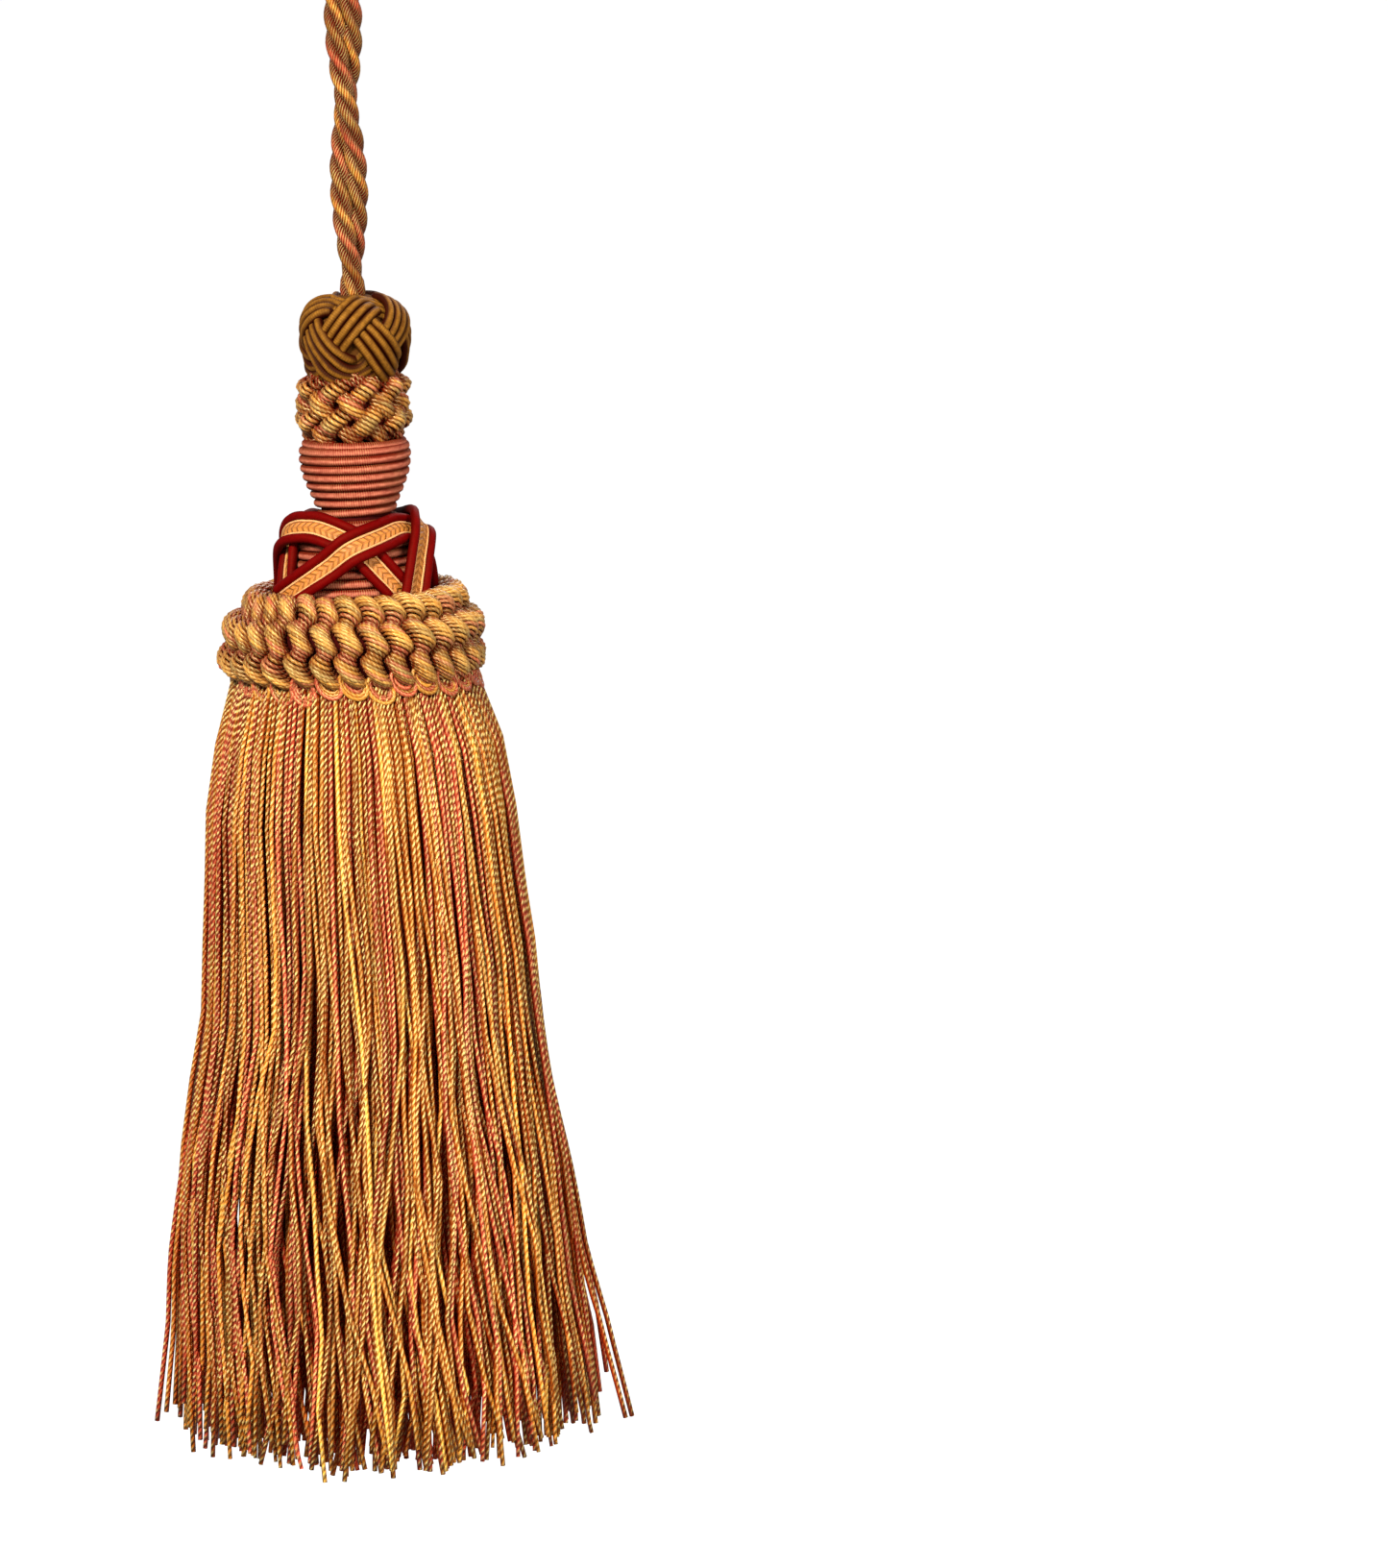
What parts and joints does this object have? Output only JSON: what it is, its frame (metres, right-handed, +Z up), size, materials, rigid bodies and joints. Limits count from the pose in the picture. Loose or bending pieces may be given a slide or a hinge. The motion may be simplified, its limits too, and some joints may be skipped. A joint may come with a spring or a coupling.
{
  "type": "decorative tassel",
  "caption": "Tie-back tassel: twisted rope loop, Turk's head knot, netted collar, gimp-wound head with crossing braids, bullion ruff and a long twisted-thread skirt.",
  "frame": {"origin": "inside top of the hanging loop, where a hook or knob holds it", "axes": "+Z up along the tassel's own axis, the front that the picture shows faces -Y, +X to that view's right"},
  "size_m": [0.0862, 0.0862, 0.328],
  "materials": {
    "hanging_cord": "satin rope of gold and rose threads",
    "knot": "satin olive gold gimp",
    "collar": "satin bullion of gold and rose threads",
    "winding": "satin salmon gimp",
    "bell_braid": "crimson cord beside gold braid",
    "ruff": "satin bullion of gold, olive and rose threads",
    "skirt": "satin twisted threads of gold, olive and rose"
  },
  "bodies": {
    "root": {"hanging_cord": "hanging_cord", "knot": "knot", "collar": "collar", "winding": "winding", "bell_braid": "bell_braid", "ruff": "ruff", "skirt": "skirt"}
  },
  "joints": []
}
